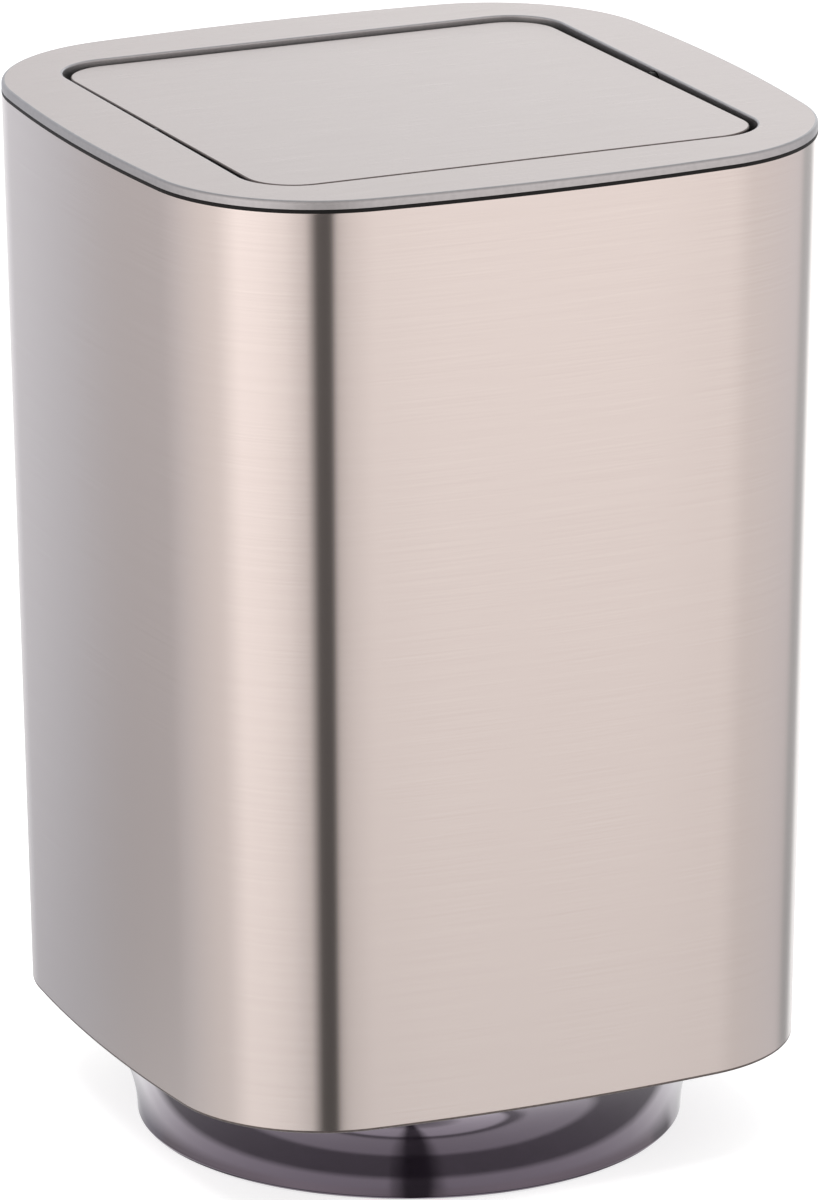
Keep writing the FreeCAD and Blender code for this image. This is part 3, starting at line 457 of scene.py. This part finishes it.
def blank(name):
    """A material with an empty node tree."""
    material = bpy.data.materials.new(name)
    material.use_nodes = True
    material.node_tree.nodes.clear()
    return material, material.node_tree


def brushed_stainless(name, dark, light, stroke, roughness):
    """Stainless steel sheet, belt-brushed along U: faint broken hair lines smear reflections across them.

    A line is about 0.3 mm wide, drawn that coarse so that it shows; the real grit leaves 0.05 mm.
    """
    line_width = 0.3 * MM
    band_width = 2.5 * MM
    material, tree = blank(name)
    uv = add(tree, "ShaderNodeUVMap", {"uv_map": "brushing"}, {})
    fine = add(tree, "ShaderNodeMapping", {}, {
        "Vector": uv.outputs["UV"], "Scale": (1 / stroke, 1 / line_width, 1)})
    lines = add(tree, "ShaderNodeTexNoise", {}, {
        "Vector": fine.outputs["Vector"], "Scale": 1.0, "Detail": 3.0, "Roughness": 0.65})
    coarse = add(tree, "ShaderNodeMapping", {}, {
        "Vector": uv.outputs["UV"], "Scale": (1 / (4 * stroke), 1 / band_width, 1),
        "Location": (3.1, 7.7, 0)})
    bands = add(tree, "ShaderNodeTexNoise", {}, {
        "Vector": coarse.outputs["Vector"], "Scale": 1.0, "Detail": 2.0, "Roughness": 0.5})
    both = add(tree, "ShaderNodeMix", {"data_type": "FLOAT"}, {
        "Factor": 0.15, "A": lines.outputs["Fac"], "B": bands.outputs["Fac"]})
    colour = add(tree, "ShaderNodeValToRGB", {}, {"Fac": both.outputs["Result"]}, (
        (0.3, linear(dark)), (0.7, linear(light))))
    rough = add(tree, "ShaderNodeMapRange", {}, {
        "Value": both.outputs["Result"], "From Min": 0.3, "From Max": 0.7,
        "To Min": roughness + 0.01, "To Max": roughness - 0.01})
    bump = add(tree, "ShaderNodeBump", {}, {
        "Strength": 0.014, "Distance": 0.01 * MM, "Height": lines.outputs["Fac"]})
    tangent = add(tree, "ShaderNodeTangent", {"direction_type": "UV_MAP", "uv_map": "brushing"}, {})
    surface = add(tree, "ShaderNodeBsdfPrincipled", {}, {
        "Base Color": colour.outputs["Color"], "Metallic": 1.0, "Roughness": rough.outputs["Result"],
        "Anisotropic": 1.0, "Anisotropic Rotation": 0.25, "Tangent": tangent.outputs["Tangent"],
        "Normal": bump.outputs["Normal"]})
    add(tree, "ShaderNodeOutputMaterial", {}, {"Surface": surface.outputs["BSDF"]})
    return material


def pressed_stainless(name, dark, light):
    """Stainless steel at a tight bend or a sheared edge, dull where the press tool rubbed it; the colours
    are given, and dark ones are painted shade.
    """
    rub_mark = 1.5 * MM
    material, tree = blank(name)
    uv = add(tree, "ShaderNodeUVMap", {"uv_map": "brushing"}, {})
    marks = add(tree, "ShaderNodeTexNoise", {}, {
        "Vector": uv.outputs["UV"], "Scale": 1 / rub_mark, "Detail": 3.0})
    colour = add(tree, "ShaderNodeValToRGB", {}, {"Fac": marks.outputs["Fac"]}, (
        (0.35, linear(dark)), (0.65, linear(light))))
    surface = add(tree, "ShaderNodeBsdfPrincipled", {}, {
        "Base Color": colour.outputs["Color"], "Metallic": 1.0, "Roughness": 0.45})
    add(tree, "ShaderNodeOutputMaterial", {}, {"Surface": surface.outputs["BSDF"]})
    return material


def moulded_black(name, dark, light, grain, roughness, depth, shine=0.5):
    """Black plastic or rubber from a spark-eroded mould: an even fine grain that breaks up its sheen."""
    cloud_size = 40 * MM
    material, tree = blank(name)
    place = add(tree, "ShaderNodeTexCoord", {}, {})
    pits = add(tree, "ShaderNodeTexNoise", {}, {
        "Vector": place.outputs["Object"], "Scale": 1 / grain, "Detail": 2.0, "Roughness": 0.6})
    cloud = add(tree, "ShaderNodeTexNoise", {}, {
        "Vector": place.outputs["Object"], "Scale": 1 / cloud_size, "Detail": 3.0})
    colour = add(tree, "ShaderNodeValToRGB", {}, {"Fac": cloud.outputs["Fac"]}, (
        (0.3, linear(dark)), (0.7, linear(light))))
    rough = add(tree, "ShaderNodeMapRange", {}, {
        "Value": pits.outputs["Fac"], "From Min": 0.3, "From Max": 0.7,
        "To Min": roughness - 0.06, "To Max": roughness + 0.06})
    bump = add(tree, "ShaderNodeBump", {}, {
        "Strength": 0.4, "Distance": depth, "Height": pits.outputs["Fac"]})
    surface = add(tree, "ShaderNodeBsdfPrincipled", {}, {
        "Base Color": colour.outputs["Color"], "Roughness": rough.outputs["Result"], "IOR": 1.49,
        "Specular IOR Level": shine, "Normal": bump.outputs["Normal"]})
    add(tree, "ShaderNodeOutputMaterial", {}, {"Surface": surface.outputs["BSDF"]})
    return material


def polished_abs():
    """Violet-black ABS under a clear hard coat: deep gloss that fine wiping marks dull a little.

    The coat mirrors more than bare ABS does, hence the high IOR, and its reflections look violet.
    """
    wipe_mark = 7 * MM
    material, tree = blank("abs_violet_black_polished")
    place = add(tree, "ShaderNodeTexCoord", {}, {})
    wipes = add(tree, "ShaderNodeTexNoise", {}, {
        "Vector": place.outputs["Object"], "Scale": 1 / wipe_mark, "Detail": 6.0, "Roughness": 0.7})
    colour = add(tree, "ShaderNodeValToRGB", {}, {"Fac": wipes.outputs["Fac"]}, (
        (0.35, linear("#1b151d")), (0.7, linear("#231c26"))))
    rough = add(tree, "ShaderNodeMapRange", {}, {
        "Value": wipes.outputs["Fac"], "From Min": 0.45, "From Max": 0.75, "To Min": 0.03, "To Max": 0.09})
    surface = add(tree, "ShaderNodeBsdfPrincipled", {}, {
        "Base Color": colour.outputs["Color"], "Roughness": rough.outputs["Result"], "IOR": 1.7,
        "Specular IOR Level": 1.0, "Specular Tint": (0.97, 0.81, 1.0, 1.0)})
    add(tree, "ShaderNodeOutputMaterial", {}, {"Surface": surface.outputs["BSDF"]})
    return material


def zinc_plated_steel():
    """Bright zinc-plated steel: pale grey, slightly blotched where the plating is thicker."""
    blotch = 2.5 * MM
    material, tree = blank("zinc_plated_steel")
    place = add(tree, "ShaderNodeTexCoord", {}, {})
    blotches = add(tree, "ShaderNodeTexNoise", {}, {
        "Vector": place.outputs["Object"], "Scale": 1 / blotch, "Detail": 4.0})
    colour = add(tree, "ShaderNodeValToRGB", {}, {"Fac": blotches.outputs["Fac"]}, (
        (0.35, linear("#a9acb0")), (0.65, linear("#c6c7c6"))))
    rough = add(tree, "ShaderNodeMapRange", {}, {
        "Value": blotches.outputs["Fac"], "From Min": 0.3, "From Max": 0.7, "To Min": 0.38, "To Max": 0.24})
    surface = add(tree, "ShaderNodeBsdfPrincipled", {}, {
        "Base Color": colour.outputs["Color"], "Metallic": 1.0, "Roughness": rough.outputs["Result"]})
    add(tree, "ShaderNodeOutputMaterial", {}, {"Surface": surface.outputs["BSDF"]})
    return material


def dress(piece, materials, body, node):
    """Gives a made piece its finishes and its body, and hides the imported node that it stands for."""
    for material in materials:
        piece.data.materials.append(material)
    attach(piece, body)
    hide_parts(node)


def finish_nodes(material, *names):
    """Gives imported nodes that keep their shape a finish."""
    for name in names:
        mesh = frame["nodes"][name].data
        mesh.materials.clear()
        mesh.materials.append(material)


def seen_plainly(tree):
    """1 for what the camera sees directly, in a mirror or through glass, and 0 for stray light."""
    path = add(tree, "ShaderNodeLightPath", {}, {})
    shown = path.outputs["Is Camera Ray"]
    for kind in ("Is Glossy Ray", "Is Transmission Ray"):
        either = add(tree, "ShaderNodeMath", {"operation": "MAXIMUM"}, {0: shown, 1: path.outputs[kind]})
        shown = either.outputs["Value"]
    return shown


def make_floor():
    """Pale floor that stays white to the camera and still takes the bin's shadow."""
    reach = 6.0
    added_glow = 0.7
    mesh = bpy.data.meshes.new("studio_floor")
    corners = [(-reach, -reach, 0), (reach, -reach, 0), (reach, reach, 0), (-reach, reach, 0)]
    mesh.from_pydata(corners, [], [(0, 1, 2, 3)])
    floor = put("studio_floor", mesh)
    floor.visible_glossy = False
    material, tree = blank("studio_floor_paper")
    glow = add(tree, "ShaderNodeMath", {"operation": "MULTIPLY"}, {0: seen_plainly(tree), 1: added_glow})
    paper = add(tree, "ShaderNodeBsdfDiffuse", {}, {"Color": linear("#f2f2f2")})
    light = add(tree, "ShaderNodeEmission", {}, {"Color": (1, 1, 1, 1), "Strength": glow.outputs["Value"]})
    both = add(tree, "ShaderNodeAddShader", {}, {0: paper.outputs["BSDF"], 1: light.outputs["Emission"]})
    add(tree, "ShaderNodeOutputMaterial", {}, {"Surface": both.outputs["Shader"]})
    mesh.materials.append(material)


STUDIO_RADIUS = 0.9
WHITE = (1.0, 1.0, 1.0)
WARM = (1.0, 0.915, 0.875)
ROSE = (1.0, 0.94, 0.935)
COOL = (0.98, 0.98, 1.03)
# Direction round the bin in degrees, and brightness and tint of the studio's walls there
WALLS = (
    (-178, 0.86, WARM),
    (-163, 1.17, WARM),
    (-148, 1.12, WARM),
    (-134, 0.98, WARM),
    (-122, 0.72, WARM),
    (-115.6, 0.12, WARM),
    (-107, 0.1, WARM),
    (-103.6, 0.66, WARM),
    (-95, 0.82, WARM),
    (-76, 0.99, WARM),
    (-60, 0.98, WARM),
    (-40, 0.78, WARM),
    (0, 0.7, ROSE),
    (7, 0.68, ROSE),
    (12, 0.45, WHITE),
    (25, 0.45, WHITE),
    (33, 1.15, WHITE),
    (65, 1.0, WHITE),
    (102, 0.66, COOL),
    (116, 0.55, COOL),
    (124, 0.49, ROSE),
    (146, 0.62, ROSE),
    (178, 0.84, WARM),
)
# Direction and brightness of the lit floor, which the foot mirrors
FLOOR = (
    (-178, 1.1),
    (-150, 1.0),
    (-124, 0.95),
    (-116, 0.1),
    (-106, 0.1),
    (-98, 0.95),
    (-60, 1.0),
    (-30, 1.1),
    (-5, 1.2),
    (15, 1.4),
    (40, 1.5),
    (95, 1.5),
    (118, 1.4),
    (140, 1.25),
    (165, 1.15),
    (178, 1.1),
)
# Heights in degrees between which the walls give way to the floor
FLOOR_EDGE = (-22, -28)
# Height above or below the bin in degrees, and a brightness that multiplies the others
HEIGHTS = (
    (-90, 0.5),
    (-84, 0.5),
    (-81, 1.45),
    (-72.5, 1.35),
    (-71, 0.4),
    (-69.5, 0.4),
    (-68, 0.95),
    (-55, 0.85),
    (-52, 0.3),
    (-37, 0.3),
    (-33, 1.05),
    (-27, 1.0),
    (-21, 0.9),
    (-15, 1.02),
    (-8, 1.2),
    (0, 1.32),
    (14, 1.45),
    (34, 1.35),
    (44, 1.2),
    (56, 1.0),
    (70, 0.85),
    (90, 0.75),
)


def tinted(brightness, tint=WHITE):
    """A tint at a brightness, as linear RGBA."""
    return (*np.multiply(tint, brightness).tolist(), 1.0)


def studio_cloth():
    """Glowing cloth of the studio: soft boxes beside the camera, and a dark gap between them.

    Its brightness is one that follows the direction round the bin, from the walls or the floor, times
    one that follows the height.
    """
    material, tree = blank("studio_dome_cloth")
    place = add(tree, "ShaderNodeTexCoord", {}, {})
    turn = add(tree, "ShaderNodeTexGradient", {"gradient_type": "RADIAL"}, {
        "Vector": place.outputs["Object"]})
    walls = add(tree, "ShaderNodeValToRGB", {}, {"Fac": turn.outputs["Fac"]}, [
        (0.5 + degrees / 360, tinted(brightness, tint)) for degrees, brightness, tint in WALLS])
    floor = add(tree, "ShaderNodeValToRGB", {}, {"Fac": turn.outputs["Fac"]}, [
        (0.5 + degrees / 360, tinted(brightness)) for degrees, brightness in FLOOR])
    parts = add(tree, "ShaderNodeSeparateXYZ", {}, {"Vector": place.outputs["Object"]})
    edge_start, edge_end = STUDIO_RADIUS * np.sin(np.radians(FLOOR_EDGE))
    below = add(tree, "ShaderNodeMapRange", {}, {
        "Value": parts.outputs["Z"], "From Min": edge_start, "From Max": edge_end})
    around = add(tree, "ShaderNodeMix", {"data_type": "RGBA"}, {
        "Factor": below.outputs["Result"], "A": walls.outputs["Color"], "B": floor.outputs["Color"]})
    rise = add(tree, "ShaderNodeMapRange", {}, {
        "Value": parts.outputs["Z"], "From Min": -STUDIO_RADIUS, "From Max": STUDIO_RADIUS})
    heights = add(tree, "ShaderNodeValToRGB", {}, {"Fac": rise.outputs["Result"]}, [
        (0.5 + math.sin(math.radians(degrees)) / 2, tinted(brightness)) for degrees, brightness in HEIGHTS])
    both = add(tree, "ShaderNodeMix", {"data_type": "RGBA", "blend_type": "MULTIPLY"}, {
        "Factor": 1.0, "A": around.outputs["Result"], "B": heights.outputs["Color"]})
    light = add(tree, "ShaderNodeEmission", {}, {"Color": both.outputs["Result"], "Strength": 1.0})
    add(tree, "ShaderNodeOutputMaterial", {}, {"Surface": light.outputs["Emission"]})
    return material


def make_studio():
    """Round studio that only reflections see, a sphere: R (cos e cos a, cos e sin a, sin e)."""
    columns = 96
    rows = 48
    around = np.linspace(0, math.tau, columns, endpoint=False)[None, :]
    height = np.linspace(-QUARTER_TURN, QUARTER_TURN, rows)[:, None]
    ball = np.broadcast_arrays(
        np.cos(height) * np.cos(around), np.cos(height) * np.sin(around), np.sin(height))
    here = np.arange(columns)[None, :]
    following = (here + 1) % columns
    row = np.arange(rows - 1)[:, None] * columns
    faces = np.stack([row + here, row + columns + here, row + columns + following, row + following], -1)
    mesh = bpy.data.meshes.new("studio_dome")
    mesh.from_pydata(STUDIO_RADIUS * np.stack(ball, -1).reshape(-1, 3), [], faces.reshape(-1, 4))
    mesh.materials.append(studio_cloth())
    dome = put("studio_dome", mesh)
    dome.visible_camera = False
    dome.visible_diffuse = False
    dome.visible_shadow = False
    dome.visible_transmission = False


def make_light():
    """White surroundings, dimmer for stray light, and a soft lamp overhead that casts the shadow."""
    world = bpy.data.worlds.new("studio")
    bpy.context.scene.world = world
    world.use_nodes = True
    tree = world.node_tree
    tree.nodes.clear()
    level = add(tree, "ShaderNodeMapRange", {}, {
        "Value": seen_plainly(tree), "To Min": 0.6, "To Max": 1.0})
    sky = add(tree, "ShaderNodeBackground", {}, {"Color": (1, 1, 1, 1), "Strength": level.outputs["Result"]})
    add(tree, "ShaderNodeOutputWorld", {}, {"Surface": sky.outputs["Background"]})
    lamp = bpy.data.lights.new("overhead_soft_box", "AREA")
    lamp.shape = "SQUARE"
    lamp.size = 1.2
    lamp.energy = 22.0
    box = put("overhead_soft_box", lamp)
    box.location = (-0.3, -0.5, 1.7)
    box.rotation_euler = (math.radians(-16), math.radians(-10), 0)
    box.visible_glossy = False


def make_camera():
    """The photograph's camera: a long lens a little above the lid, in front and to the left.

    It starts out level and looking along +Y, rolls about its line of sight, tilts down, turns about the
    upright, and stands back by its distance from the point that it looks at.
    """
    aim = (1.0 * MM, -0.45 * MM, 147.9 * MM)
    distance = 2.4694
    turn = math.radians(-24.4308)
    tilt = math.radians(17.2879)
    roll = math.radians(-0.1587)
    data = bpy.data.cameras.new("photo_camera")
    data.lens = 268.87
    data.sensor_width = 36.0
    data.clip_end = 20.0
    camera = put("photo_camera", data)
    heading = Matrix.Translation(aim) @ Matrix.Rotation(turn, 4, "Z")
    sight = Matrix.Rotation(QUARTER_TURN - tilt, 4, "X") @ Matrix.Rotation(roll, 4, "Z")
    camera.matrix_world = heading @ sight @ Matrix.Translation((0, 0, distance))
    bpy.context.scene.camera = camera


bpy.context.scene.view_settings.view_transform = "Standard"
make_camera()
make_light()
make_floor()
make_studio()

sleeve_steel = brushed_stainless("stainless_steel_brushed_round", "#cdc6c4", "#d1cbc9", 45 * MM, 0.21)
lid_steel = brushed_stainless("stainless_steel_brushed_across", "#c8c2c1", "#d0cac9", 22 * MM, 0.28)
rim_steel = pressed_stainless("stainless_steel_pressed_rim", "#aeafb2", "#b4b5b8")
# Painted shade: steel darkened for the sleeve's bottom bend and the flap's edge, standing in for the shadow
# and dark reflections there
bend_shade_steel = pressed_stainless("stainless_steel_bend_painted_shade", "#6b6462", "#7c7472")
# Deep grain that leaves the bucket nearly without a sheen
bucket_black = moulded_black(
    "polypropylene_black_grained", "#09090a", "#0f0f10", 0.5 * MM, 0.5, 0.04 * MM, shine=0.2)
# Light grain with a soft sheen
carrier_black = moulded_black("abs_black_moulded", "#101011", "#171718", 0.35 * MM, 0.42, 0.02 * MM)
# Smooth and waxy, with a faint sheen
acetal_black = moulded_black(
    "acetal_black_moulded", "#0b0b0b", "#111111", 0.2 * MM, 0.4, 0.01 * MM, shine=0.15)
# Matt, a little greyer than the plastics
rubber_black = moulded_black("epdm_rubber_black", "#121212", "#1a1a19", 0.6 * MM, 0.8, 0.05 * MM)
foot_gloss = polished_abs()
zinc = zinc_plated_steel()

dress(make_sleeve(), (sleeve_steel, bend_shade_steel), "shell", "outer_sleeve")
dress(make_lid(), (lid_steel, rim_steel), "lid", "lid_cap")
dress(make_flap(), (lid_steel, bend_shade_steel), "flap", "flap_plate")
dress(make_bucket(), (bucket_black,), "bucket", "inner_bucket")
dress(make_foot(), (foot_gloss,), "shell", "foot_dish")
finish_nodes(
    carrier_black, "base_plate", "lid_carrier", "flap_carrier", "bearing_cap_left", "bearing_cap_right")
finish_nodes(acetal_black, "pivot_bush_left", "pivot_bush_right")
finish_nodes(rubber_black, "anti_slip_ring")
finish_nodes(
    zinc, "foot_screws", "bearing_screws", "counterweight_screws", "pivot_pin_left", "pivot_pin_right",
    "counterweight")
